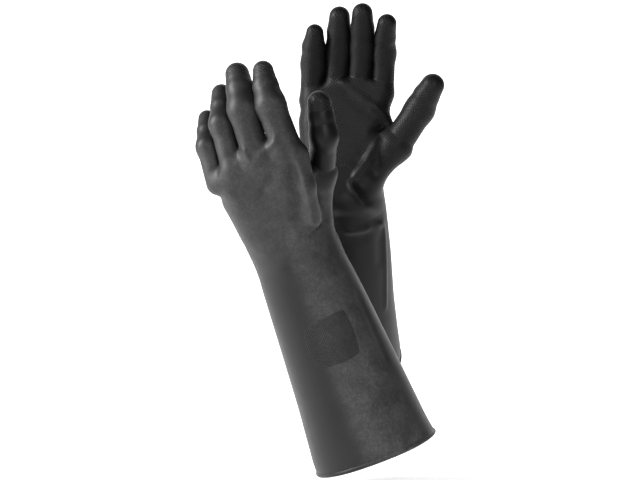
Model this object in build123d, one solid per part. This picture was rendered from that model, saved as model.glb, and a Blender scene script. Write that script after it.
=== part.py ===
from build123d import *
import os
from math import atan2, cos, degrees, radians, sin, sqrt

# A pair of long rubber gloves, hands up. Millimetres; +X to the viewer's right, +Z up, the viewer at -Y.
# The origin is the centre of the left glove's cuff mouth.
# Each glove has its own frames, with +X towards its thumb and +Z towards its fingers. "side" is +1 for
# the right glove, whose back faces +Y, and -1 for the left one, whose back faces -Y.
# Where two segments meet, the outer one ends in a short sleeve. The inner one starts as a band of a
# sphere that is centred on the hinge, so it turns inside the sleeve without touching it.

os.makedirs("parts", exist_ok=True)

WALL = 2.0                    # rubber of the gauntlet and the hand
FINGER_WALL = 1.7             # rubber of the fingers
JOINT_GAP = 0.3               # between a sleeve and the band that turns in it
HUGE = 400.0                  # edge of the boxes that cut

# gauntlet, from the wrist hinge at z = 0 down to the cuff mouth
GAUNTLET_LENGTH = 218.0
WRIST_RADIUS = 38.2
CUFF_RADIUS = 58.0
CUFF_STRAIGHT = 12.0          # cylindrical length at the mouth
BEAD_SECTION = 4.0
BEAD_PROUD = 2.2
BEAD_STEP = 0.2               # how far its inside stands back from the gauntlet's
BEAD_FLAT = 0.1               # half the height of its flat outermost face
WRIST_EDGE_BACK = -12.0       # where the gauntlet ends, on the back and on the palm side
WRIST_EDGE_PALM = -3.0

# marking panel on the back of the gauntlet
PANEL_WIDTH = 47.0
PANEL_HEIGHT = 43.0
PANEL_CORNER = 9.0
PANEL_PROUD = 0.6
PANEL_DOWN = 96.0             # from the wrist hinge to its centre
PANEL_TURN = 18.0             # degrees round the gauntlet, towards the thumb

# hand
COLLAR_RADIUS = 35.0
COLLAR_END_PALM = -14.0       # lowest points of the collar, measured along the gauntlet
COLLAR_END_BACK = -24.0
# half width, half thickness and height of each section, and how far it is shifted towards the thumb
HAND_SECTIONS = (
    (34.65, 34.6, 3.0, 0.0),
    (38.5, 29.0, 26.0, -1.0),
    (42.5, 22.5, 52.0, -4.0),
    (48.0, 18.0, 74.0, -1.0),
    (49.3, 15.2, 104.0, 0.3),
)
SECTION_FLAT = 0.05           # half the height of the flat at each section's round ends
SLOT_HALF_HEIGHT = 15.2 - WALL
KNUCKLE_EDGE_BACK = 2.0       # where the hand ends, measured from the knuckle line
KNUCKLE_EDGE_PALM = -9.5
KNUCKLE_LINE = ((70.0, 78.0), (35.2, 92.0), (11.2, 95.0), (-12.6, 92.0), (-35.4, 83.0), (-70.0, 62.0))

# fingers: sideways place and height of the knuckle, first length, second length to the centre of the
# round tip, radius at the knuckle, radius of the tip
FINGERS = {
    "index": (35.2, 92.0, 40.0, 33.0, 11.7, 10.3),
    "middle": (11.2, 95.0, 43.0, 36.5, 11.8, 10.8),
    "ring": (-12.6, 92.0, 41.0, 35.0, 11.6, 10.4),
    "little": (-35.5, 83.0, 35.0, 33.0, 10.5, 9.5),
}
FINGER_LEAN = 4.0             # degrees towards the thumb
FINGER_EDGE_BACK = 3.0        # where a first segment ends, measured from the middle joint
FINGER_EDGE_PALM = -8.0
BAND_DEPTH = 6.0              # how far a finger's band reaches behind its hinge
FINGER_SLEEVE_EXCESS = 0.9    # how much wider a first segment ends than the tip's radius
BAND_EXCESS = 0.01            # how far a finger's band stands out of its tube
NECK_GAP = 0.7                # how much slimmer a tip's neck is than the sleeve round it
BELLY_EXCESS = 0.2            # how much fuller a tip is at its belly than at its end

# thumb
THUMB_ROOT = (50.0, 6.5, 43.0)  # towards the thumb side, towards the palm side, up
THUMB_LENGTHS = (41.5, 28.0)
THUMB_RADIUS = 13.4
THUMB_TIP_RADIUS = 12.6
THUMB_SLEEVE_EXCESS = 0.6
THUMB_SOCKET_RADIUS = 14.3
THUMB_SOCKET_LENGTH = 26.0
THUMB_EDGE_BACK = 1.0
THUMB_EDGE_PALM = -3.0
THUMB_JOINT_EDGE_PALM = -10.0

# how each glove is held: its place, the gauntlet's lean, depth tilt and turn, the wrist's backward
# bend, the bend at each finger's two joints, and the thumb's spread and bend at its two joints
WRIST_BEND = 30.0
GLOVES = {
    "left": {
        "side": -1,
        "wrist_from_left": (0.0, 0.0, 0.0),
        "gauntlet_turns": (-20.8, 3.0, -18.4),
        "curls": {"index": (29, 25), "middle": (32, 27), "ring": (39, 32), "little": (40, 32)},
        "thumb_spread": (29.0, 16.0),
        "thumb_bend": (-6.0, 24.0),
    },
    "right": {
        "side": 1,
        "wrist_from_left": (47.7, 85.5, 55.4),
        "gauntlet_turns": (-3.0, 32.7, -13.0),
        "curls": {"index": (19, 20), "middle": (19, 20), "ring": (14, 17), "little": (14, 18)},
        "thumb_spread": (34.0, 30.0),
        "thumb_bend": (5.0, 26.0),
    },
}


def save(solid, name):
    solid.label = name
    export_step(solid, f"parts/{name}.step")


def on_circle(radius, z):
    """The distance from the axis of a point at height z on a sphere about the origin."""
    return sqrt(radius * radius - z * z)


def revolved(*edges):
    """The solid that a closed outline in the XZ plane makes when it turns round the Z axis."""
    return revolve(make_face(Curve() + list(edges)), Axis.Z)


def path(*points):
    return Polyline(*[(r, 0, z) for r, z in points])


def arc_about(centre_z, radius, start, end):
    """An arc in the XZ plane about a point on the Z axis, between two angles from +X."""
    at = [radians(a) for a in (start, (start + end) / 2, end)]
    return ThreePointArc(*[(radius * cos(a), 0, centre_z + radius * sin(a)) for a in at])


def beyond(edge_back, edge_palm, radius, side):
    """All that lies past a slanting plane, which crosses the back and the palm side at these heights."""
    slant = degrees(atan2(edge_back - edge_palm, 2 * radius))
    block = Box(HUGE, HUGE, HUGE, align=(Align.CENTER, Align.CENTER, Align.MIN))
    return Pos(0, 0, (edge_back + edge_palm) / 2) * Rot(side * slant, 0, 0) * block


def first_segment(length, radius, end_radius, band_radius, edge_back, edge_palm, side):
    """A tube that starts as a band about its hinge and ends as the sleeve of the next joint."""
    def form(inset):
        band = band_radius - inset
        start = -degrees(atan2(BAND_DEPTH, on_circle(band, BAND_DEPTH)))
        waist = radius - inset
        end = degrees(atan2(on_circle(band, waist), waist))
        top = length + edge_back + HUGE / 20
        slope = (end_radius - radius) / length
        return revolved(
            path((0, -BAND_DEPTH), (on_circle(band, BAND_DEPTH), -BAND_DEPTH)),
            arc_about(0, band, start, end),
            path((waist, on_circle(band, waist)), (waist + slope * top, top), (0, top), (0, -BAND_DEPTH)),
        )

    tube = form(0) - form(FINGER_WALL)
    return tube - Pos(0, 0, length) * beyond(edge_back, edge_palm, end_radius, side)


def tip_segment(length, socket_radius, tip_radius):
    """A closed tip: a band about its hinge, a slim neck, a belly and a round end."""
    band_radius = socket_radius - JOINT_GAP
    neck_radius = socket_radius - NECK_GAP
    belly_z = length / 2

    def form(inset):
        band = band_radius - inset
        neck = neck_radius - inset
        tip = tip_radius - inset
        belly = tip + BELLY_EXCESS
        start = -degrees(atan2(BAND_DEPTH, on_circle(band, BAND_DEPTH)))
        end = degrees(atan2(on_circle(band, neck), neck))
        return revolved(
            path((0, -BAND_DEPTH), (on_circle(band, BAND_DEPTH), -BAND_DEPTH)),
            arc_about(0, band, start, end),
            path((neck, on_circle(band, neck)), (belly, belly_z), (tip, length)),
            arc_about(length, tip, 0, 90),
            path((0, length + tip), (0, -BAND_DEPTH)),
        )

    return form(0) - form(FINGER_WALL)


def gauntlet(side):
    cuff_top = -GAUNTLET_LENGTH + CUFF_STRAIGHT

    def form(inset):
        return revolved(path(
            (0, 0),
            (WRIST_RADIUS - inset, 0),
            (CUFF_RADIUS - inset, cuff_top),
            (CUFF_RADIUS - inset, -GAUNTLET_LENGTH),
            (0, -GAUNTLET_LENGTH),
            (0, 0),
        ))

    return form(0) - form(WALL) - beyond(WRIST_EDGE_BACK, WRIST_EDGE_PALM, WRIST_RADIUS, side)


def cuff_bead():
    """The rolled edge below the cuff: flat where it meets the gauntlet and round outside."""
    inner = CUFF_RADIUS - WALL + BEAD_STEP
    outer = CUFF_RADIUS + BEAD_PROUD
    middle = -GAUNTLET_LENGTH - BEAD_SECTION / 2
    section = Plane.XZ * Pos((inner + outer) / 2, middle) * Rectangle(outer - inner, BEAD_SECTION)
    corners = section.vertices().sort_by(Axis.X)[2:]
    return revolve(fillet(corners, BEAD_SECTION / 2 - BEAD_FLAT), Axis.Z)


def marking_panel(side):
    """A thin raised blank patch that follows the cone of the gauntlet."""
    cuff_top = -GAUNTLET_LENGTH + CUFF_STRAIGHT
    skin = revolved(path(
        (WRIST_RADIUS, 0),
        (WRIST_RADIUS + PANEL_PROUD, 0),
        (CUFF_RADIUS + PANEL_PROUD, cuff_top),
        (CUFF_RADIUS, cuff_top),
        (WRIST_RADIUS, 0),
    ))
    shape = RectangleRounded(PANEL_WIDTH, PANEL_HEIGHT, PANEL_CORNER)
    prism = extrude(Plane.XZ * shape, HUGE / 4, dir=(0, side, 0))
    turn = -side * PANEL_TURN
    return skin & (Rot(0, 0, turn) * Pos(0, 0, -PANEL_DOWN) * prism)


def thumb_place(side, spread, bend):
    """The frame of the thumb's root hinge, in the hand's frame."""
    x, palm, z = THUMB_ROOT
    return Pos(x, -side * palm, z) * Rot(0, spread, 0) * Rot(side * bend, 0, 0)


def hand(side, root):
    """The hollow hand: wrist collar, palm and thumb socket, open at the wrist, knuckles and thumb."""
    def form(inset):
        sections = [
            Pos(shift, 0, z) * RectangleRounded(
                2 * (half_width - inset), 2 * (half_thick - inset), half_thick - inset - SECTION_FLAT)
            for half_width, half_thick, z, shift in HAND_SECTIONS
        ]
        collar = Sphere(WRIST_RADIUS - WALL - JOINT_GAP - inset)
        socket = Cylinder(
            THUMB_SOCKET_RADIUS + WALL - inset,
            THUMB_SOCKET_LENGTH,
            align=(Align.CENTER, Align.CENTER, Align.MAX),
        )
        return loft(sections) + collar, root * Pos(0, 0, THUMB_EDGE_BACK + WALL) * socket

    outer, outer_socket = form(0)
    inner, inner_socket = form(WALL)
    root_end = root * beyond(THUMB_EDGE_BACK, THUMB_EDGE_PALM, THUMB_SOCKET_RADIUS, side)
    shell = outer + (outer_socket - root_end) - inner - inner_socket

    # the collar ends at a slanting plane, which is set out along the gauntlet
    below = Rot(side * WRIST_BEND, 0, 0) * Rot(180, 0, 0)
    shell -= below * beyond(-COLLAR_END_BACK, -COLLAR_END_PALM, COLLAR_RADIUS, -side)

    # the front follows the knuckle line, and it is further back on the palm side
    rise = (KNUCKLE_EDGE_BACK - KNUCKLE_EDGE_PALM) / (2 * SLOT_HALF_HEIGHT)
    middle = (KNUCKLE_EDGE_BACK + KNUCKLE_EDGE_PALM) / 2
    line = Spline(*[(x, 0, z + middle) for x, z in KNUCKLE_LINE])
    top = line.bounding_box().max.Z + HUGE / 8
    above = Polyline(line @ 1, ((line @ 1).X, 0, top), ((line @ 0).X, 0, top), line @ 0)
    cutter = extrude(make_face(Curve() + [line, above]), HUGE / 8, dir=(0, 1, side * rise), both=True)
    return shell - cutter


def build(glove, settings, wrist):
    side = settings["side"]
    lean, depth, turn = settings["gauntlet_turns"]
    arm = Pos(*wrist) * Rot(0, lean, 0) * Rot(depth, 0, 0) * Rot(0, 0, turn)
    palm = arm * Rot(-side * WRIST_BEND, 0, 0)
    pieces = {
        "gauntlet": arm * gauntlet(side),
        "cuff_bead": arm * cuff_bead(),
        "marking_panel": arm * marking_panel(side),
    }

    spread, tip_spread = settings["thumb_spread"]
    bend, tip_bend = settings["thumb_bend"]
    root = thumb_place(side, spread, bend)
    pieces["hand"] = palm * hand(side, root)
    first, second = THUMB_LENGTHS
    thumb_end = THUMB_TIP_RADIUS + THUMB_SLEEVE_EXCESS
    band = THUMB_SOCKET_RADIUS - JOINT_GAP
    pieces["thumb_base"] = palm * root * first_segment(
        first, THUMB_RADIUS, thumb_end, band, FINGER_EDGE_BACK, THUMB_JOINT_EDGE_PALM, side)
    turned = Rot(0, tip_spread - spread, 0) * Rot(side * (tip_bend - bend), 0, 0)
    pieces["thumb_tip"] = palm * root * Pos(0, 0, first) * turned * tip_segment(
        second, thumb_end - FINGER_WALL, THUMB_TIP_RADIUS)

    for name, (x, z, first, second, radius, tip_radius) in FINGERS.items():
        curl, tip_curl = settings["curls"][name]
        knuckle = palm * Pos(x, 0, z) * Rot(0, FINGER_LEAN, 0) * Rot(side * curl, 0, 0)
        middle = knuckle * Pos(0, 0, first) * Rot(side * tip_curl, 0, 0)
        end_radius = tip_radius + FINGER_SLEEVE_EXCESS
        pieces[f"{name}_base"] = knuckle * first_segment(
            first, radius, end_radius, radius + BAND_EXCESS, FINGER_EDGE_BACK, FINGER_EDGE_PALM, side)
        pieces[f"{name}_tip"] = middle * tip_segment(second, end_radius - FINGER_WALL, tip_radius)

    return {f"{glove}_{name}": piece for name, piece in pieces.items()}


left_turns = GLOVES["left"]["gauntlet_turns"]
left_arm = Rot(0, left_turns[0], 0) * Rot(left_turns[1], 0, 0) * Pos(0, 0, GAUNTLET_LENGTH)
left_wrist = left_arm.position
pieces = {}
for glove, settings in GLOVES.items():
    wrist = left_wrist + Vector(*settings["wrist_from_left"])
    pieces.update(build(glove, settings, (wrist.X, wrist.Y, wrist.Z)))

for name, piece in pieces.items():
    save(piece, name)
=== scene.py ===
"""A pair of long dipped rubber gloves, held upright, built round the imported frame.

Each glove is one continuous skin, given as a distance field in millimetres in its hand's own frame:
+X towards the thumb, +Z towards the fingers, and the back of the hand towards +Y times its side.
The skin is cut into one piece per rubber segment. Pieces overlap a little, and the rim of each is
sunk under its neighbour, so no seam shows.
"""

import math

import bpy
import numpy as np
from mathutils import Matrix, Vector


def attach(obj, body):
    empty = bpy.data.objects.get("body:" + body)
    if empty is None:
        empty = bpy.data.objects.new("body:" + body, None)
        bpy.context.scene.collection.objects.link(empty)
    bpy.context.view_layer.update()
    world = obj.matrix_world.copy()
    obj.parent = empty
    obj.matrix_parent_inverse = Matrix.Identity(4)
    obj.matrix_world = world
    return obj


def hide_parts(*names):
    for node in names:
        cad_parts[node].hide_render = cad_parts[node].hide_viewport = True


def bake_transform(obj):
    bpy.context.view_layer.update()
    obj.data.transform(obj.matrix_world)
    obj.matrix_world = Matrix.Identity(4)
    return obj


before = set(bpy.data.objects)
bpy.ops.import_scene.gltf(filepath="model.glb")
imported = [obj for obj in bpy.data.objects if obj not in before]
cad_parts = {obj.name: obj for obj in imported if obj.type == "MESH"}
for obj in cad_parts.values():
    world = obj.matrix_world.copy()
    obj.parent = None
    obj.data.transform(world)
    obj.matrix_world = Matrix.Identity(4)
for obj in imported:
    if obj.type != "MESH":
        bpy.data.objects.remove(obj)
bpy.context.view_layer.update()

MM = 0.001
WALL = 2.0
HAND_WALL = WALL + 0.2

# The gauntlet, as in the CAD part.
GAUNTLET_LENGTH = 218.0
WRIST_RADIUS = 38.2
CUFF_RADIUS = 58.0
CUFF_STRAIGHT = 12.0
WRIST_BEND = 30.0
PANEL_DOWN = 96.0
PANEL_TURN = 18.0

# Each hand's section: height, reach on the little finger's side and on the thumb's side, half
# thickness, and shift towards the palm.
PALM = {
    "left": np.array([
        (-30.0, -41.0, 36.0, 36.0, 0.0),
        (3.0, -42.0, 35.5, 33.6, 0.0),
        (26.0, -42.5, 38.0, 27.5, 0.0),
        (52.0, -39.0, 42.0, 21.5, 0.0),
        (74.0, -36.0, 46.5, 17.0, 0.5),
        (90.0, -36.5, 49.5, 14.2, 2.0),
        (108.0, -37.0, 50.5, 10.5, 6.0),
        (130.0, -37.0, 51.0, 8.0, 12.0),
    ]),
    "right": np.array([
        (-30.0, -37.0, 37.5, 36.0, 0.0),
        (3.0, -37.0, 35.5, 33.6, 0.0),
        (26.0, -40.0, 37.0, 27.5, 0.0),
        (52.0, -44.0, 40.0, 21.5, 0.0),
        (74.0, -47.0, 43.0, 17.0, 0.5),
        (90.0, -48.5, 45.0, 14.2, 2.0),
        (108.0, -48.5, 45.5, 10.5, 6.0),
        (130.0, -48.0, 45.5, 8.0, 12.0),
    ]),
}
# How far each gauntlet's section is shifted towards the thumb, and widened, against height.
SLEEVE_SHIFT = {
    "left": np.array([
        (-228.0, 2.5, 0.8), (-203.0, 0.3, -0.6), (-150.0, 0.4, -0.6), (-90.0, -0.4, 0.2),
        (-30.0, -1.5, 0.9), (25.0, -2.0, 0.0),
    ]),
    "right": np.array([
        (-228.0, -1.5, 0.0), (-190.0, -1.5, -0.5), (-140.0, -1.0, -0.4), (-80.0, 0.8, 0.8),
        (-25.0, 1.4, 1.2), (25.0, 0.5, 0.0),
    ]),
}
# Where the skin between the fingers ends: place across the hand, and height.
WEBS = np.array([
    (-70.0, 72.0),
    (-47.0, 86.0),
    (-24.0, 97.0),
    (-0.7, 105.0),
    (23.2, 106.0),
    (47.0, 98.0),
    (70.0, 84.0),
])

# Knuckle across and up, two lengths to the tip's centre in the CAD part, and that tip's radius.
FINGERS = {
    "index": (35.2, 92.0, 40.0, 33.0, 10.3),
    "middle": (11.2, 95.0, 43.0, 36.5, 10.8),
    "ring": (-12.6, 92.0, 41.0, 35.0, 10.4),
    "little": (-35.5, 83.0, 35.0, 33.0, 9.5),
}
# The skin of each digit: its radius at the root, the joint, the belly and the tip, and how far each
# of these places is shifted across it, towards the thumb.
SKIN = {
    "left": {
        "index": ((13.4, 12.9, 11.7, 9.2), (5.8, 3.6, 2.2, 2.6)),
        "middle": ((12.4, 13.3, 12.7, 10.8), (1.2, 2.1, 1.9, 1.1)),
        "ring": ((11.0, 11.0, 10.4, 9.2), (0.0, 0.0, 0.3, 0.3)),
        "little": ((10.0, 9.7, 9.4, 8.3), (1.2, 0.9, 0.4, 0.6)),
        "thumb": ((12.8, 12.3, 11.9, 10.8), (-0.8, 0.3, 0.0, 0.0)),
    },
    "right": {
        "index": ((11.2, 10.6, 10.5, 9.2), (-0.6, -1.8, -1.6, 0.0)),
        "middle": ((12.0, 11.8, 11.6, 9.9), (0.0, 0.0, -0.2, -0.3)),
        "ring": ((11.9, 12.1, 11.9, 10.1), (-0.4, -0.6, -0.6, -0.4)),
        "little": ((11.7, 12.0, 11.6, 8.6), (-1.4, -2.0, -2.0, -0.9)),
        "thumb": ((15.2, 14.2, 13.0, 11.4), (2.8, 0.6, -0.3, 0.0)),
    },
}
FINGER_LEAN = 4.0
FINGER_SEAMS = {"index": 19.0, "middle": 19.5, "ring": 21.0, "little": 21.0}
JOINT_SEAM = 4.0  # how far before its joint an outer segment starts

THUMB_ROOT = (50.0, 6.5, 43.0)
THUMB_LENGTHS = (41.5, 28.0)
THUMB_CAD_TIP = 12.6
THUMB_SEAM = 15.0
THUMB_DEPTH = {"left": 16.0, "right": 0.0}  # how much nearer the palm side the skin's thumb lies

GLOVES = {
    "left": {
        "side": -1.0,
        "wrist_from_left": (0.0, 0.0, 0.0),
        "turns": (-20.8, 3.0, -18.4),
        "curls": {"index": (29, 25), "middle": (32, 27), "ring": (39, 32), "little": (40, 32)},
        "thumb_spread": (29.0, 16.0),
        "thumb_bend": (-6.0, 24.0),
    },
    "right": {
        "side": 1.0,
        "wrist_from_left": (47.7, 85.5, 55.4),
        "turns": (-3.0, 32.7, -13.0),
        "curls": {"index": (19, 20), "middle": (19, 20), "ring": (14, 17), "little": (14, 18)},
        "thumb_spread": (34.0, 30.0),
        "thumb_bend": (5.0, 26.0),
    },
}


# ---------------------------------------------------------------- frames


def shifted(x, y, z):
    m = np.eye(4)
    m[:3, 3] = x, y, z
    return m


def turned(axis, degrees):
    """A turn about one of the axes 0, 1 and 2, counterclockwise seen from its positive end."""
    a, b = (axis + 1) % 3, (axis + 2) % 3
    c, s = math.cos(math.radians(degrees)), math.sin(math.radians(degrees))
    m = np.eye(4)
    m[a, a], m[a, b], m[b, a], m[b, b] = c, -s, s, c
    return m


def chain(*steps):
    m = np.eye(4)
    for step in steps:
        m = m @ step
    return m


def carried(m, p):
    return p @ m[:3, :3].T + m[:3, 3]


# ---------------------------------------------------------------- distances


def smooth_min(a, b, k):
    h = np.maximum(k - np.abs(a - b), 0.0) / k
    return np.minimum(a, b) - h * h * k * 0.25


def smooth_max(a, b, k):
    return -smooth_min(-a, -b, k)


def smoothstep(x, low, high):
    t = np.clip((x - low) / (high - low), 0.0, 1.0)
    return t * t * (3.0 - 2.0 * t)


def taper(p, a, b, ra, rb):
    """Distance to a round-ended cone from a to b."""
    ab = b - a
    t = np.clip(((p - a) @ ab) / (ab @ ab), 0.0, 1.0)
    return np.linalg.norm(p - a - t[:, None] * ab, axis=1) - (ra + (rb - ra) * t)


class Curve:
    """A smoothed table of one or more values against a place."""

    def __init__(self, rows, window=9.0, step=0.5):
        low, high = rows[0, 0], rows[-1, 0]
        self.x = np.arange(low, high + step, step)
        kernel = np.hanning(int(2 * window / step) | 1)
        kernel /= kernel.sum()
        pad = len(kernel) // 2
        self.columns = []
        for column in rows[:, 1:].T:
            wide = np.interp(np.arange(low - pad * step, high + (pad + 1) * step, step), rows[:, 0], column)
            # the ends carry on with their own slope, so that smoothing doesn't flatten them
            first = (column[1] - column[0]) / (rows[1, 0] - rows[0, 0])
            last = (column[-1] - column[-2]) / (rows[-1, 0] - rows[-2, 0])
            wide[:pad] += first * step * np.arange(-pad, 0)
            wide[-pad:] += last * step * np.arange(1, pad + 1)
            self.columns.append(np.convolve(wide, kernel, "valid")[: len(self.x)])
        self.x = self.x[: len(self.columns[0])]

    def __call__(self, x):
        return [np.interp(x, self.x, c) for c in self.columns]


palm_curves = {name: Curve(rows) for name, rows in PALM.items()}
shift_curves = {name: Curve(rows, window=14.0) for name, rows in SLEEVE_SHIFT.items()}
web_curve = Curve(WEBS, window=7.0)
sleeve_curve = Curve(
    np.array([
        (-GAUNTLET_LENGTH - 10.0, CUFF_RADIUS + 0.4),
        (-GAUNTLET_LENGTH + CUFF_STRAIGHT, CUFF_RADIUS),
        (0.0, WRIST_RADIUS),
        (25.0, WRIST_RADIUS - 2.2),
    ]),
    window=10.0,
)


class Segment:
    """One straight stretch of a finger or the thumb: its frame, and how far along it a point is."""

    def __init__(self, matrix, length):
        self.start = matrix[:3, 3].copy()
        self.axis = matrix[:3, 2].copy()
        self.across = matrix[:3, 0].copy()
        self.back = matrix[:3, 1].copy()
        self.length = length
        self.end = self.start + self.axis * length

    def along(self, p):
        return (p - self.start) @ self.axis

    def at(self, s):
        return self.start + self.axis * s


class Digit:
    """A finger or the thumb: two stretches, and four balls that its skin is drawn round."""

    def __init__(self, base_matrix, first, tip_matrix, reach, radii, offsets):
        self.base = Segment(base_matrix, first)
        self.tip = Segment(tip_matrix, reach - radii[3])
        self.radii = radii
        base, tip = self.base, self.tip
        self.balls = [
            base.start + base.across * offsets[0],
            base.end + base.across * offsets[1],
            tip.at(tip.length * 0.55) + tip.across * offsets[2],
            tip.end + tip.across * offsets[3],
        ]

    def __call__(self, p):
        b, r = self.balls, self.radii
        d = taper(p, b[0], b[1], r[0], r[1])
        d = smooth_min(d, taper(p, b[1], b[2], r[1], r[2]), 6.0)
        return smooth_min(d, taper(p, b[2], b[3], r[2], r[3]), 1.5)


class Glove:
    def __init__(self, name, spec):
        self.name = name
        self.side = side = spec["side"]
        left = GLOVES["left"]["turns"]
        reach = chain(turned(1, left[0]), turned(0, left[1]), shifted(0, 0, GAUNTLET_LENGTH))[:3, 3]
        wrist = reach + np.array(spec["wrist_from_left"])
        lean, depth, roll = spec["turns"]
        self.arm = chain(shifted(*wrist), turned(1, lean), turned(0, depth), turned(2, roll))
        self.palm = self.arm @ turned(0, -side * WRIST_BEND)
        self.arm_from_palm = turned(0, -side * WRIST_BEND)
        self.palm_from_arm = np.linalg.inv(self.arm_from_palm)
        self.fingers = {}
        for finger, (x, z, first, second, cad_tip) in FINGERS.items():
            curl, tip_curl = spec["curls"][finger]
            knuckle = chain(shifted(x, 0, z), turned(1, FINGER_LEAN), turned(0, side * curl))
            middle = chain(knuckle, shifted(0, 0, first), turned(0, side * tip_curl))
            self.fingers[finger] = Digit(knuckle, first, middle, second + cad_tip, *SKIN[name][finger])
        x, y, z = THUMB_ROOT
        spread, tip_spread = spec["thumb_spread"]
        bend, tip_bend = spec["thumb_bend"]
        first, second = THUMB_LENGTHS
        y += THUMB_DEPTH[name]
        root = chain(shifted(x, -side * y, z), turned(1, spread), turned(0, side * bend))
        outer = chain(
            root, shifted(0, 0, first), turned(1, tip_spread - spread), turned(0, side * (tip_bend - bend)),
        )
        self.thumb = Digit(root, first, outer, second + THUMB_CAD_TIP, *SKIN[name]["thumb"])
        self.palm_curve = palm_curves[name]
        self.shift_curve = shift_curves[name]
        self.edge = EDGES[name]
        self.folds = FOLDS[name]
        self.sleeve_folds = SLEEVE_FOLDS[name]

    # Everything below takes points in the hand's frame.

    def sleeve(self, q):
        """q is in the arm's frame."""
        (radius,) = sleeve_curve(q[:, 2])
        shift, wider = self.shift_curve(q[:, 2])
        x = q[:, 0] - shift
        angle = np.arctan2(q[:, 1] * self.side, x)
        low = smoothstep(-q[:, 2], 10.0, 60.0)
        wave = 0.6 * np.cos(2 * angle + 0.6) + 0.4 * np.cos(5 * angle + 1.0 - q[:, 2] * 0.01)
        radius = radius + wider + low * wave
        d = (np.hypot(x, q[:, 1]) - radius) * 0.995
        u = angle * radius
        for points, width, height in self.sleeve_folds:
            d = d - ridge(u, q[:, 2], points, width, height)
        return smooth_max(d, q[:, 2] - 8.0, 10.0)

    def hand(self, p):
        left, right, half_thick, droop = self.palm_curve(p[:, 2])
        x, y = p[:, 0] - (left + right) / 2, p[:, 1] + self.side * droop
        outside = np.maximum(np.abs(x) - ((right - left) / 2 - half_thick), 0.0)
        section = np.hypot(outside, y) - half_thick
        (top,) = web_curve(p[:, 0])
        d = smooth_max(section, p[:, 2] - top, 9.0)
        return smooth_max(d, -26.0 - p[:, 2], 12.0)

    def skin(self, p, limit=None):
        """Distance to the outside of the whole glove, with each digit cut off where limit says."""
        q = carried(self.arm_from_palm, p)
        d = smooth_min(self.sleeve(q), self.hand(p), 9.0)
        side = self.side
        heel = np.array([27.0, -side * 10.0, 10.0])
        d = smooth_min(d, taper(p, heel, self.thumb.balls[0], 15.5, self.thumb.radii[0]), 12.0)
        little_heel = np.array([-25.0, -side * 9.0, 12.0])
        little_side = np.array([-30.0 - 2.5 * side, -side * 5.0, 58.0])
        d = smooth_min(d, taper(p, little_heel, little_side, 14.0, 13.0), 10.0)
        for a, b, ra, rb in self.edge:
            d = smooth_min(d, taper(p, np.array(a), np.array(b), ra, rb), 7.0)
        # the web between the thumb and the index finger
        web = taper(p, np.array([40.0, -side * 3.0, 60.0]), self.thumb.base.at(6.0), 7.0, 6.0)
        d = smooth_min(d, web, 9.0)
        # where a digit leaves the hand the fillet round it dies out before its seam
        thumb, s = self.thumb(p), self.thumb.base.along(p)
        if limit:
            thumb = np.maximum(thumb, s - limit["thumb"])
        d = smooth_min(d, thumb, 11.0 - 10.4 * smoothstep(s, 0.0, THUMB_SEAM - 1.0))
        fingers = None
        for name, digit in self.fingers.items():
            one, s = digit(p), digit.base.along(p)
            if limit:
                one = np.maximum(one, s - limit[name])
            to_seam = FINGER_SEAMS[name] - s
            if fingers is None:
                fingers, run = one, to_seam
            else:
                run = np.where(one < fingers, to_seam, run)
                fingers = smooth_min(fingers, one, 1.2)
        d = smooth_min(d, fingers, 0.6 + 5.4 * smoothstep(run, 0.5, 10.0))
        for face, points, width, height in self.folds:
            facing = smoothstep(p[:, 1] * side * face, -6.0, 8.0)
            d = d - facing * ridge(p[:, 0], p[:, 2], points, width, height)
        return d


def ridge(u, v, points, width, height):
    """A soft ridge, or a groove where height is negative, along a polyline. It dies out at both ends."""
    best, run, done = np.full(len(u), 1e9), np.zeros(len(u)), 0.0
    for (u0, v0), (u1, v1) in zip(points, points[1:]):
        du, dv = u1 - u0, v1 - v0
        size = math.hypot(du, dv)
        t = np.clip(((u - u0) * du + (v - v0) * dv) / (size * size), 0.0, 1.0)
        away = (u - u0 - t * du) ** 2 + (v - v0 - t * dv) ** 2
        run = np.where(away < best, done + t * size, run)
        best = np.minimum(best, away)
        done += size
    fade = smoothstep(np.minimum(run, done - run), -1.0, min(12.0, 0.45 * done))
    return height * fade * np.exp(-best / (2.0 * width * width))


# Rounded strips that stand out along the thumb side of the back: two ends and their radii.
EDGES = {
    "left": [
        ((51.5, -4.0, 84.0), (43.0, -12.0, 56.0), 7.0, 7.5),
        ((43.0, -12.0, 56.0), (33.0, -18.0, 26.0), 7.5, 9.0),
    ],
    "right": [],
}
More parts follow.
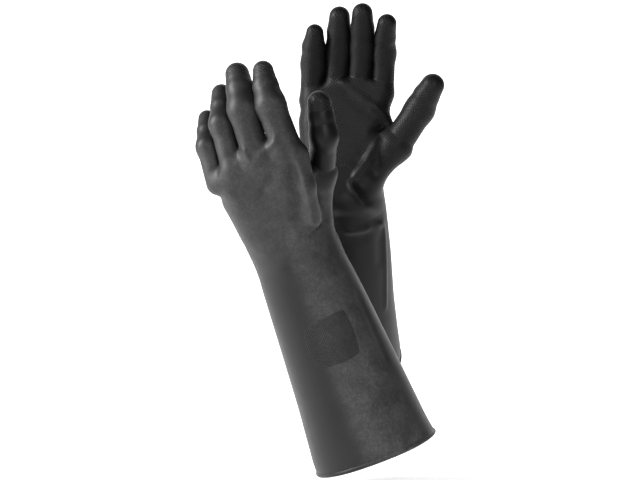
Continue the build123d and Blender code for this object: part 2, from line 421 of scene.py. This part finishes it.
# Folds of each hand: +1 on the back or -1 on the palm, points across and up, width, height.
FOLDS = {
    "left": [
        (1, ((43.0, 114.0), (37.0, 106.0), (24.0, 101.0), (12.0, 97.0)), 2.4, 2.0),
        (1, ((7.0, 114.0), (9.0, 98.0)), 2.0, 1.4),
        (1, ((-26.0, 88.0), (10.0, 91.0), (44.0, 96.0)), 5.0, 1.6),
        (1, ((-24.0, 78.0), (12.0, 80.0), (40.0, 86.0)), 5.5, -1.4),
        (1, ((29.0, 81.0), (12.0, 72.0), (0.0, 62.0)), 2.8, -1.6),
        (1, ((20.0, 84.0), (2.0, 74.0)), 2.2, 1.0),
        (1, ((50.0, 98.0), (49.0, 81.0), (46.0, 58.0), (41.0, 38.0), (34.0, 12.0)), 3.0, 2.4),
        (1, ((40.0, 88.0), (38.0, 62.0), (34.0, 40.0)), 3.4, -1.2),
        (1, ((38.0, 11.0), (22.0, 15.0)), 1.5, -1.7),
        (1, ((37.0, 16.0), (28.0, 4.0)), 1.5, -1.3),
        (1, ((20.0, 30.0), (0.0, 18.0), (-18.0, 12.0)), 4.5, -0.9),
    ],
    "right": [
        (-1, ((-10.0, 104.0), (20.0, 84.0), (50.0, 65.0)), 3.0, 2.2),
        (-1, ((-8.0, 94.0), (14.0, 78.0), (38.0, 64.0)), 3.6, -1.2),
        (-1, ((46.0, 61.0), (24.0, 52.0)), 2.2, -2.0),
        (-1, ((37.0, 50.0), (27.0, 24.0), (13.0, 0.0)), 2.8, 3.4),
        (-1, ((10.0, 8.0), (14.0, 0.0), (24.0, -14.0), (38.0, -30.0)), 2.8, 3.0),
        (-1, ((42.0, 34.0), (31.0, 4.0)), 4.5, -2.6),
        (-1, ((22.0, 34.0), (12.0, 16.0)), 4.5, -1.8),
    ],
}
# Folds of each gauntlet: points round it from the thumb side towards the back, and up; width, height.
SLEEVE_FOLDS = {
    "left": [
        (((26.0, -20.0), (30.0, -70.0), (38.0, -150.0), (44.0, -200.0)), 5.0, 0.9),
        (((62.0, -30.0), (74.0, -110.0), (84.0, -190.0)), 9.0, -0.8),
        (((52.0, -150.0), (70.0, -190.0)), 7.0, 0.7),
        (((10.0, -60.0), (16.0, -140.0)), 3.0, -0.6),
    ],
    "right": [
        (((-64.0, -30.0), (-44.0, -31.0), (-26.0, -32.0)), 2.6, 1.8),
        (((-64.0, -38.0), (-30.0, -41.0)), 4.2, -1.2),
        (((-12.0, -34.0), (-18.0, -80.0), (-25.0, -139.0)), 2.2, 1.4),
        (((-22.0, -40.0), (-27.0, -85.0)), 4.0, -1.0),
        (((-30.0, -30.0), (-8.0, -38.0)), 3.0, 1.6),
    ],
}


# ---------------------------------------------------------------- meshes


def net(field, low, high, cell):
    """The quads of the surface on which a field is zero."""
    count = np.ceil((high - low) / cell).astype(int) + 1
    axes = [low[i] + cell * np.arange(count[i]) for i in range(3)]
    points = np.stack(np.meshgrid(*axes, indexing="ij"), -1).reshape(-1, 3)
    chunk = 400000
    values = np.concatenate([field(points[i : i + chunk]) for i in range(0, len(points), chunk)])
    values = values.reshape(count)
    inside = values < 0.0
    total = np.zeros(count - 1, np.int8)
    corners = [(i, j, k) for i in (0, 1) for j in (0, 1) for k in (0, 1)]
    for i, j, k in corners:
        total += inside[i : count[0] - 1 + i, j : count[1] - 1 + j, k : count[2] - 1 + k]
    cells = np.argwhere((total > 0) & (total < 8))
    number = np.full(count - 1, -1)
    number[tuple(cells.T)] = np.arange(len(cells))
    place, crossings = np.zeros((len(cells), 3)), np.zeros(len(cells))
    for axis in range(3):
        step = np.eye(3, dtype=int)[axis]
        for corner in corners:
            if corner[axis]:
                continue
            at = cells + corner
            a, b = values[tuple(at.T)], values[tuple((at + step).T)]
            crossed = (a < 0.0) != (b < 0.0)
            t = np.where(crossed, a / np.where(crossed, a - b, 1.0), 0.0)
            place += np.where(crossed[:, None], corner + t[:, None] * step, 0.0)
            crossings += crossed
    vertices = low + cell * (cells + place / crossings[:, None])
    quads = []
    for axis in range(3):
        b, c = (axis + 1) % 3, (axis + 2) % 3
        here = [slice(None)] * 3
        there = [slice(None)] * 3
        here[axis], there[axis] = slice(None, -1), slice(1, None)
        edges = np.argwhere(inside[tuple(here)] != inside[tuple(there)])
        low_side = (edges[:, b] > 0) & (edges[:, c] > 0)
        high_side = (edges[:, b] < count[b] - 1) & (edges[:, c] < count[c] - 1)
        edges = edges[low_side & high_side]
        ring = []
        for back_b, back_c in ((1, 1), (0, 1), (0, 0), (1, 0)):
            at = edges.copy()
            at[:, b] -= back_b
            at[:, c] -= back_c
            ring.append(number[tuple(at.T)])
        ring = np.stack(ring, 1)
        flip = ~inside[tuple(edges.T)]
        ring[flip] = ring[flip][:, ::-1]
        quads.append(ring)
    return vertices, np.concatenate(quads)


def gradient(field, p, h=0.15):
    out = np.empty_like(p)
    for axis in range(3):
        step = np.zeros(3)
        step[axis] = h
        out[:, axis] = (field(p + step) - field(p - step)) / (2 * h)
    return out


def settled(field, p, rounds=2):
    """The points moved onto the surface on which a field is zero."""
    for _ in range(rounds):
        g = gradient(field, p)
        size = np.maximum((g * g).sum(1), 0.25)
        p = p - np.clip(field(p) / size, -1.0, 1.0)[:, None] * g
    return p


def unit(v):
    return v / np.maximum(np.linalg.norm(v, axis=1), 1e-9)[:, None]


def mesh_object(name, glove, p, faces, normals, grip, bloom_and_painted_light, grain):
    """p and normals are in the hand's frame, in millimetres. The mesh is in metres in the shared frame."""
    mesh = bpy.data.meshes.new(name)
    world = carried(glove.palm, p) * MM
    sides = faces.shape[1]
    mesh.vertices.add(len(world))
    mesh.vertices.foreach_set("co", world.ravel())
    mesh.loops.add(faces.size)
    mesh.loops.foreach_set("vertex_index", faces.ravel().astype(np.int32))
    mesh.polygons.add(len(faces))
    mesh.polygons.foreach_set("loop_start", np.arange(0, faces.size, sides, dtype=np.int32))
    mesh.polygons.foreach_set("loop_total", np.full(len(faces), sides, np.int32))
    mesh.update(calc_edges=True)
    mesh.validate()
    for label, kind, values in (
        ("grip", "FLOAT", grip),
        ("bloom_and_painted_light", "FLOAT", bloom_and_painted_light),
        ("rest", "FLOAT_VECTOR", p),
        ("grain", "FLOAT_VECTOR", grain),
    ):
        field = "vector" if kind == "FLOAT_VECTOR" else "value"
        attribute = mesh.attributes.new(label, kind, "POINT")
        attribute.data.foreach_set(field, np.ascontiguousarray(values, dtype=np.float32).ravel())
    mesh.polygons.foreach_set("use_smooth", np.ones(len(faces), bool))
    mesh.normals_split_custom_set_from_vertices((normals @ glove.palm[:3, :3].T).tolist())
    obj = bpy.data.objects.new(name, mesh)
    bpy.context.scene.collection.objects.link(obj)
    return obj


# ---------------------------------------------------------------- masks


def grip_mask(glove, p, normal):
    """1 on the moulded grip: the palm, the front of the fingers, and round the fingertips."""
    facing = -normal[:, 1] * glove.side
    palm = smoothstep(facing, -0.15, 0.2) * smoothstep(p[:, 2], 14.0, 18.0)
    for digit in (*glove.fingers.values(), glove.thumb):
        tip = digit.tip
        s = tip.along(p)
        off = np.linalg.norm(p - tip.start - s[:, None] * tip.axis, axis=1)
        wrap = smoothstep(s, tip.length - 6.5, tip.length - 5.9) * (off < digit.radii[1] + 3.0)
        palm = np.maximum(palm, wrap)
    return palm


def bloom_and_painted_light_mask(glove, p, normal):
    """1 where the rubber is paler: dusty bloom on the thumb side of the sleeve, and dust with painted light
    on the back of the hand.

    Below 0 it is painted shade, blacker than the rest.
    """
    q = carried(glove.arm_from_palm, p)
    angle = np.arctan2(q[:, 1] * glove.side, q[:, 0])
    sleeve = smoothstep(-np.abs(angle - 0.9), -1.0, -0.2) * smoothstep(-q[:, 2], -60.0, 20.0)
    # the back of the hand is paler than the palm, partly dust and partly painted light
    back = smoothstep(normal[:, 1] * glove.side, 0.1, 0.7) * smoothstep(q[:, 2], -30.0, 20.0) * 0.6
    # a band of the sleeve beside it is kept darker, with little of the pale tone, and the cuff is the
    # dustiest place
    sleeve = sleeve * (1.0 - 0.8 * smoothstep(-np.abs(angle - 1.75), -0.45, -0.1))
    near_rim = smoothstep(-q[:, 2], 170.0, 205.0) * smoothstep(-np.abs(angle - 0.75), -0.75, -0.3)
    bloom_and_painted_light = np.maximum(np.maximum(sleeve, back), 1.25 * near_rim)
    if glove.name == "right":
        return bloom_and_painted_light
    # painted shade: the thumb of the left glove and the hand's edge beside it are painted nearly black, for
    # the shadow the hand casts on them
    dark = smoothstep(-glove.thumb(p), -9.0, -1.0) * smoothstep(glove.thumb.base.along(p), -22.0, 6.0)
    return bloom_and_painted_light * (1.0 - dark) - dark


# ---------------------------------------------------------------- pieces


HAND_CELL = 1.05
DIGIT_CELL = 0.75
LIMITS = dict(FINGER_SEAMS, thumb=THUMB_SEAM)
SINK = 0.25  # how deep a piece's rim lies under its neighbour
SINK_RUN = 7.0  # the run over which a rim sinks
PROUD = 0.05  # how far a digit's piece stands out past the rim it covers
SLEEVE_TOP = -20.0  # heights in the arm's frame, from the wrist's centre
HAND_CUT = SLEEVE_TOP - SINK_RUN
HAND_BOX = np.array([(-56.0, -46.0, -50.0), (84.0, 46.0, 122.0)])


def finish_piece(obj, material, replaced):
    obj.data.materials.append(material)
    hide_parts(replaced)


def build_hand(glove, materials):
    """The palm and back, hollow, with short stubs for the digits."""

    def shape(p):
        height = carried(glove.arm_from_palm, p)[:, 2]
        d = glove.skin(p, limit=LIMITS) + SINK * smoothstep(-height, -SLEEVE_TOP, -HAND_CUT)
        shell = np.maximum(d, -(d + HAND_WALL))
        return np.maximum(shell, HAND_CUT - height)

    p, quads = net(shape, *HAND_BOX, HAND_CELL)
    p = settled(shape, p)
    normal = unit(gradient(shape, p))
    name = f"{glove.name}_hand"
    grip, bloom_and_painted_light = grip_mask(glove, p, normal), bloom_and_painted_light_mask(glove, p, normal)
    obj = mesh_object(name + "_skin", glove, p, quads, normal, grip, bloom_and_painted_light, p)
    finish_piece(obj, materials["rubber"], name)
    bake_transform(obj)


def build_segment(glove, label, digit, seam, end, material, blend_from, blend_to):
    """A closed piece of a digit, from its seam to its end or to the fingertip."""
    base, tip = digit.base, digit.tip

    def ramp(p):
        return SINK - (SINK + PROUD) * smoothstep(base.along(p), seam - SINK_RUN, seam - 0.5)

    def shape(p, sunk=True):
        d = digit(p)
        if sunk:
            d = d + ramp(p)
        d = np.maximum(d, seam - SINK_RUN - base.along(p))
        return d if end is None else np.maximum(d, base.along(p) - end)

    spine = [base.at(seam - SINK_RUN)]
    spine += [tip.start, tip.end] if end is None else [base.at(end)]
    spine = np.array(spine)
    reach = max(digit.radii) + 7.5
    p, quads = net(shape, spine.min(0) - reach, spine.max(0) + reach, DIGIT_CELL)
    p = settled(shape, p)
    normal = unit(gradient(lambda x: shape(x, False), p))
    offset = p - base.start
    grain = np.stack([offset @ base.across, offset @ base.back, offset @ base.axis], 1)
    if end is None:
        offset = p - tip.start
        grain = np.stack([offset @ tip.across, offset @ tip.back, offset @ tip.axis + base.length], 1)
    grip, bloom_and_painted_light = grip_mask(glove, p, normal), bloom_and_painted_light_mask(glove, p, normal)
    obj = mesh_object(label + "_skin", glove, p, quads, normal, grip, bloom_and_painted_light, grain)
    finish_piece(obj, material, label)
    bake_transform(obj)
    return obj


def build_digits(glove, materials):
    digits = dict(glove.fingers, thumb=glove.thumb)
    for name, digit in digits.items():
        base = digit.base
        first, second = f"{glove.name}_{name}_base", f"{glove.name}_{name}_tip"
        seam = LIMITS[name]
        joint_seam = base.length - JOINT_SEAM
        build_segment(
            glove, first, digit, seam, joint_seam, materials["rubber"],
            base.at(seam - 1.0), base.at(joint_seam - SINK_RUN + 1.0),
        )
        build_segment(
            glove, second, digit, joint_seam, None, materials["rubber"],
            base.at(joint_seam), base.at(base.length + 6.0),
        )


MOUTH_LIFT = {"left": 9.5, "right": 0.0}  # how much higher the mouth is where it faces forward


def lathe(glove, angles, profile):
    """Rings of points round the sleeve. Each row of profile is a height and an offset from the skin."""
    rings = []
    cos, sin = np.cos(angles), np.sin(angles) * glove.side
    facing = 0.5 + 0.5 * np.cos(angles - math.radians(75.0))
    for z, offset in profile:
        (radius,) = sleeve_curve(np.array([z]))
        lift = MOUTH_LIFT[glove.name] * facing * smoothstep(-z, 120.0, GAUNTLET_LENGTH)
        q = np.stack([cos * radius, sin * radius, np.full(len(angles), z) + lift], 1)
        for _ in range(3):
            d = glove.skin(carried(glove.palm_from_arm, q))
            spread = np.hypot(q[:, 0], q[:, 1])
            q[:, :2] *= (1.0 - d / spread)[:, None]
        spread = np.hypot(q[:, 0], q[:, 1])
        q[:, :2] *= (1.0 + offset / spread)[:, None]
        rings.append(q)
    return np.array(rings)


def grid_quads(rows, columns, close_rows, close_columns):
    i, j = np.meshgrid(
        np.arange(rows if close_rows else rows - 1),
        np.arange(columns if close_columns else columns - 1),
        indexing="ij",
    )
    i2, j2 = (i + 1) % rows, (j + 1) % columns
    quads = np.stack([i * columns + j, i2 * columns + j, i2 * columns + j2, i * columns + j2], -1)
    return quads.reshape(-1, 4)


def facing_out(p, faces):
    """The faces turned so that their solid's volume is positive."""
    a, b, c, d = (p[faces[:, k]] for k in range(4))
    volume = (np.cross(b - a, c - a) * a).sum() + (np.cross(c - a, d - a) * a).sum()
    return faces if volume > 0 else faces[:, ::-1]


def plain_normals(p, faces):
    """Vertex normals by the area of the faces round each."""
    a, b, c, d = (p[faces[:, k]] for k in range(4))
    face = np.cross(c - a, d - b)
    out = np.zeros_like(p)
    for k in range(4):
        np.add.at(out, faces[:, k], face)
    return unit(out)


def build_ring(glove, label, profile, around, material, body):
    angles = np.linspace(0.0, 2.0 * math.pi, around, endpoint=False)
    points = lathe(glove, angles, profile)
    p = carried(glove.palm_from_arm, points.reshape(-1, 3))
    quads = facing_out(p, grid_quads(len(profile), around, True, True))
    normal = plain_normals(p, quads)
    q = points.reshape(-1, 3)
    grain = np.stack([np.arctan2(q[:, 1] * glove.side, q[:, 0]) * 48.0, q[:, 0] * 0.0, q[:, 2]], 1)
    obj = mesh_object(
        label + "_skin", glove, p, quads, normal, np.zeros(len(p)), bloom_and_painted_light_mask(glove, p, normal), grain,
    )
    finish_piece(obj, material, label)
    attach(obj, body)
    return obj


def build_sleeve(glove, materials):
    """The flared sleeve, open at both ends, and the rolled bead round its mouth."""
    mouth = -GAUNTLET_LENGTH - 2.0
    step = 1.7
    heights = np.linspace(SLEEVE_TOP, mouth, int((SLEEVE_TOP - mouth) / step))
    sink = -SINK * smoothstep(heights, HAND_CUT, SLEEVE_TOP)
    outer = list(zip(heights, sink - 0.02))
    rim = [(mouth - 0.5, -0.3), (mouth - 0.7, -1.0), (mouth - 0.5, -1.7)]
    inner = [(z, -WALL) for z in heights[::-2]]
    body = f"{glove.name}_gauntlet"
    build_ring(glove, body, outer + rim + inner, 272, materials["rubber"], body)
    turns = np.linspace(0.0, 2.0 * math.pi, 14, endpoint=False)
    bead = [(-GAUNTLET_LENGTH - 1.8 + 2.1 * math.cos(t), -0.6 + 1.7 * math.sin(t)) for t in turns]
    build_ring(
        glove, f"{glove.name}_cuff_bead", bead, 320,
        materials["rubber"], body,
    )


def build_panel(glove, materials):
    """A blank stippled patch, moulded on the back of the gauntlet."""
    wide, tall, corner, slant = 23.5, 21.5, 7.0, 3.0
    rise_height, depth = 0.32, 0.9
    n = 90
    s = np.linspace(-1.0, 1.0, n)
    u, v = np.meshgrid(s, s, indexing="ij")
    # a square grid drawn in to a rounded rectangle: lines near the corners bow inwards
    pull = np.minimum(np.abs(u), np.abs(v)) ** 3
    x = u * wide - np.sign(u) * corner * 0.36 * pull
    z = v * tall - np.sign(v) * corner * 0.36 * pull
    z = z - slant * u * smoothstep(v, -1.0, 1.0)
    centre = math.radians(90.0 - PANEL_TURN)
    layers = []
    edge = np.maximum(np.abs(u), np.abs(v))
    rise = rise_height * (1.0 - smoothstep(edge, 0.93, 1.0)) - 0.12 * smoothstep(edge, 0.97, 1.0)
    for offset in (rise, np.full_like(rise, -depth)):
        height = z - PANEL_DOWN
        (radius,) = sleeve_curve(height.ravel())
        angle = centre + x.ravel() / radius
        q = np.stack([radius * np.cos(angle), radius * np.sin(angle) * glove.side, height.ravel()], 1)
        for _ in range(3):
            d = glove.skin(carried(glove.palm_from_arm, q))
            q[:, :2] *= (1.0 - d / np.hypot(q[:, 0], q[:, 1]))[:, None]
        q[:, :2] *= (1.0 + offset.ravel() / np.hypot(q[:, 0], q[:, 1]))[:, None]
        layers.append(q)
    q = np.concatenate(layers)
    top = grid_quads(n, n, False, False)
    bottom = top[:, ::-1] + n * n
    border = np.concatenate([
        np.arange(0, n), np.arange(2 * n - 1, n * n, n), np.arange(n * n - 2, n * n - n - 1, -1),
        np.arange(n * n - 2 * n, 0, -n),
    ])
    nxt = np.roll(border, -1)
    walls = np.stack([nxt, border, border + n * n, nxt + n * n], 1)
    p = carried(glove.palm_from_arm, q)
    quads = facing_out(p, np.concatenate([top, bottom, walls]))
    normal = plain_normals(p, quads)
    grain = np.stack([np.tile(x.ravel(), 2), np.zeros(len(p)), np.tile(z.ravel(), 2)], 1)
    label = f"{glove.name}_marking_panel"
    grip, bloom_and_painted_light = np.ones(len(p)), bloom_and_painted_light_mask(glove, p, normal)
    obj = mesh_object(label + "_skin", glove, p, quads, normal, grip, bloom_and_painted_light, grain)
    finish_piece(obj, materials["panel"], label)
    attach(obj, f"{glove.name}_gauntlet")


# ---------------------------------------------------------------- materials


class Nodes:
    """Short hands for a material's node tree."""

    def __init__(self, name):
        self.material = bpy.data.materials.new(name)
        self.material.use_nodes = True
        self.tree = self.material.node_tree
        self.shader = self.tree.nodes["Principled BSDF"]

    def put(self, socket, value):
        if isinstance(value, bpy.types.NodeSocket):
            self.tree.links.new(value, socket)
        else:
            socket.default_value = value

    def add(self, kind, inputs=(), output=0, **settings):
        node = self.tree.nodes.new(kind)
        for key, value in settings.items():
            setattr(node, key, value)
        for key, value in dict(inputs).items():
            self.put(node.inputs[key], value)
        return node.outputs[output]

    def math(self, operation, a, b=0.0, c=0.0, clamp=False):
        return self.add("ShaderNodeMath", {0: a, 1: b, 2: c}, operation=operation, use_clamp=clamp)

    def attribute(self, name, output="Fac"):
        return self.add("ShaderNodeAttribute", output=output, attribute_name=name)

    def noise(self, vector, scale, detail=3.0, rough=0.5, distortion=0.0):
        inputs = {"Vector": vector, "Scale": scale, "Detail": detail, "Roughness": rough}
        inputs["Distortion"] = distortion
        return self.add("ShaderNodeTexNoise", inputs)

    def ramp(self, value, low, high):
        return self.add(
            "ShaderNodeMapRange", {"Value": value, "From Min": low, "From Max": high},
            interpolation_type="SMOOTHSTEP",
        )

    def mix(self, factor, a, b):
        node = self.tree.nodes.new("ShaderNodeMix")
        node.data_type = "RGBA"
        self.put(node.inputs["Factor"], factor)
        self.put(node.inputs["A"], a)
        self.put(node.inputs["B"], b)
        return node.outputs["Result"]


def grey(value, warm=0.0):
    return (value * (1.0 + warm), value, value * (1.0 - warm), 1.0)


DIAGONAL = 0.7071  # the rows of dots run at 45 degrees


def rubber(name, dark, dusty, bloom_amount, rough, pitch=2.3, dot=0.55, specular=0.5):
    """Dull rubber, from its plain and its dusty grey, with a raised dot pattern where the grip is, painted
    shade in the hollows between the dots, and painted shade where its pale-tone attribute is below 0.
    """
    n = Nodes(name)
    rest = n.attribute("rest", "Vector")
    grain = n.attribute("grain", "Vector")
    grip = n.attribute("grip")
    bloom_and_painted_light = n.attribute("bloom_and_painted_light")
    # large soft clouds, a fine mottle, and sparse pale specks
    cloud = n.math("MULTIPLY_ADD", n.ramp(n.noise(rest, 0.04, 4.0, 0.6, 0.3), 0.3, 0.7), 0.45, 0.3)
    mottle = n.ramp(n.noise(rest, 0.30, 5.0, 0.75), 0.35, 0.7)
    specks = n.ramp(n.noise(rest, 0.9, 3.0, 0.7), 0.60, 0.70)
    dust = n.math("MULTIPLY", n.math("MULTIPLY_ADD", mottle, 0.5, 0.5), cloud)
    dust = n.math("MULTIPLY_ADD", specks, 0.9, dust)
    dust = n.math("MULTIPLY", dust, n.math("MULTIPLY", bloom_and_painted_light, bloom_amount), clamp=True)
    # rows of round dots, staggered, on the grip
    parts = n.tree.nodes.new("ShaderNodeSeparateXYZ")
    n.put(parts.inputs[0], grain)
    turn = 2.0 * math.pi / pitch * DIAGONAL
    waves = []
    for operation in ("ADD", "SUBTRACT"):
        diagonal = n.math(operation, parts.outputs[0], parts.outputs[2])
        waves.append(n.math("COSINE", n.math("MULTIPLY", diagonal, turn)))
    dots = n.ramp(n.math("ADD", *waves), -0.2, 1.5)
    dots = n.math("MULTIPLY", dots, grip)
    # below 0 the attribute paints the rubber's grey down towards black: painted shade on the left thumb
    clean_with_painted_shade = n.mix(n.math("MULTIPLY", bloom_and_painted_light, -1.0, clamp=True), grey(dark), grey(dark * 0.15))
    base = n.mix(dust, clean_with_painted_shade, grey(dusty))
    # painted shade: the hollows between the grip's dots are painted darker
    hollow_shade = n.math("MULTIPLY", n.math("SUBTRACT", grip, dots), 0.45)
    n.put(n.shader.inputs["Base Color"], n.mix(hollow_shade, base, grey(dark * 0.55)))
    roughness = n.math("MULTIPLY_ADD", dust, 0.22, rough)
    roughness = n.math("MULTIPLY_ADD", n.noise(rest, 0.12, 3.0), 0.10, roughness)
    n.put(n.shader.inputs["Roughness"], roughness)
    n.shader.inputs["Specular IOR Level"].default_value = specular
    fine = n.noise(rest, 2.2, 3.0, 0.6)
    pitting = n.noise(rest, 0.4, 4.0, 0.6)
    uneven = n.math("MULTIPLY_ADD", pitting, 0.10, n.math("MULTIPLY", fine, 0.05))
    height = n.math("MULTIPLY_ADD", dots, dot, uneven)
    bump = n.add("ShaderNodeBump", {"Strength": 0.8, "Distance": 0.0006, "Height": height})
    n.put(n.shader.inputs["Normal"], bump)
    return n.material


# ---------------------------------------------------------------- build


MATERIALS = {
    "left": {
        "rubber": rubber("rubber_front", 0.017, 0.13, 1.0, 0.40, specular=0.32),
        "panel": rubber("rubber_front_stipple", 0.020, 0.10, 0.8, 0.46, pitch=1.9, dot=0.7, specular=0.3),
    },
    # the rear glove's greys are darker: partly less dust, partly painted shade for the front glove's shadow
    # and the weaker light on it
    "right": {
        "rubber": rubber("rubber_rear_shaded", 0.006, 0.026, 0.6, 0.42, specular=0.26),
        "panel": rubber("rubber_rear_stipple_shaded", 0.008, 0.03, 0.6, 0.46, pitch=1.9, dot=0.7, specular=0.26),
    },
}

for glove_name, glove_spec in GLOVES.items():
    glove = Glove(glove_name, glove_spec)
    materials = MATERIALS[glove_name]
    build_hand(glove, materials)
    build_digits(glove, materials)
    build_sleeve(glove, materials)
    build_panel(glove, materials)


# ---------------------------------------------------------------- stage, light and camera


GLOW_RUN = (-0.25, 0.25)  # from in front of the gloves to behind them
GLOW_BEFORE, GLOW_BEHIND = 0.15, 0.90


def plain_material(name, value, rough=0.9):
    """A pale matt surface that glows, more behind the gloves than before them."""
    n = Nodes(name)
    n.shader.inputs["Roughness"].default_value = rough
    n.shader.inputs["Specular IOR Level"].default_value = 0.1
    n.shader.inputs["Emission Color"].default_value = (1.0, 1.0, 1.0, 1.0)
    parts = n.tree.nodes.new("ShaderNodeSeparateXYZ")
    n.put(parts.inputs[0], n.add("ShaderNodeNewGeometry", output="Position"))
    behind = n.ramp(parts.outputs[1], *GLOW_RUN)
    glow = n.math("MULTIPLY_ADD", behind, GLOW_BEHIND - GLOW_BEFORE, GLOW_BEFORE)
    n.put(n.shader.inputs["Emission Strength"], glow)
    haze = n.noise(n.add("ShaderNodeNewGeometry", output="Position"), 2.0)
    n.put(n.shader.inputs["Base Color"], n.mix(haze, grey(value), grey(value * 0.985)))
    return n.material


def build_stage():
    """A pale floor that curves up into a pale backdrop."""
    floor, front, back, top, radius, half = -0.032, -2.4, 3.4, 3.4, 0.8, 3.6
    steps, columns = 16, 9
    profile = [(front, floor), (back - radius, floor)]
    for k in range(1, steps + 1):
        a = k / steps * math.pi / 2
        profile.append((back - radius + radius * math.sin(a), floor + radius * (1.0 - math.cos(a))))
    profile.append((back, top))
    points = [(x, y, z) for y, z in profile for x in np.linspace(-half, half, columns)]
    faces = grid_quads(len(profile), columns, False, False)
    mesh = bpy.data.meshes.new("stage")
    mesh.from_pydata(points, [], faces.tolist())
    mesh.polygons.foreach_set("use_smooth", np.ones(len(faces), bool))
    mesh.materials.append(plain_material("stage_white", 0.86))
    obj = bpy.data.objects.new("stage", mesh)
    bpy.context.scene.collection.objects.link(obj)


def softbox(name, place, target, width, height, power, colour=(1.0, 1.0, 1.0)):
    light = bpy.data.lights.new(name, "AREA")
    light.shape = "RECTANGLE"
    light.size, light.size_y = width, height
    light.energy = power
    light.color = colour
    obj = bpy.data.objects.new(name, light)
    obj.location = place
    obj.rotation_euler = (Vector(target) - Vector(place)).to_track_quat("-Z", "Y").to_euler()
    bpy.context.scene.collection.objects.link(obj)


build_stage()
middle = (-0.03, 0.03, 0.22)
softbox("key", (-1.3, -0.25, 0.8), middle, 0.3, 0.9, 29.0)
softbox("front", (0.35, -1.7, 0.7), middle, 0.5, 0.9, 9.0)
softbox("backdrop", (0.0, 1.9, 2.4), (0.0, 3.2, 0.3), 2.6, 0.8, 30.0)

bpy.context.scene.view_settings.view_transform = "Standard"
world = bpy.data.worlds.new("world")
bpy.context.scene.world = world
world.use_nodes = True
world.node_tree.nodes["Background"].inputs["Color"].default_value = (1.0, 1.0, 1.0, 1.0)
world.node_tree.nodes["Background"].inputs["Strength"].default_value = 0.10

camera = bpy.data.cameras.new("camera")
camera.lens = 66.5
camera.sensor_width = 36.0
camera_object = bpy.data.objects.new("camera", camera)
camera_object.location = (-0.0522, -1.1119, 0.2023)
camera_object.rotation_euler = (math.radians(90.0), 0.0, 0.0)
bpy.context.scene.collection.objects.link(camera_object)
bpy.context.scene.camera = camera_object
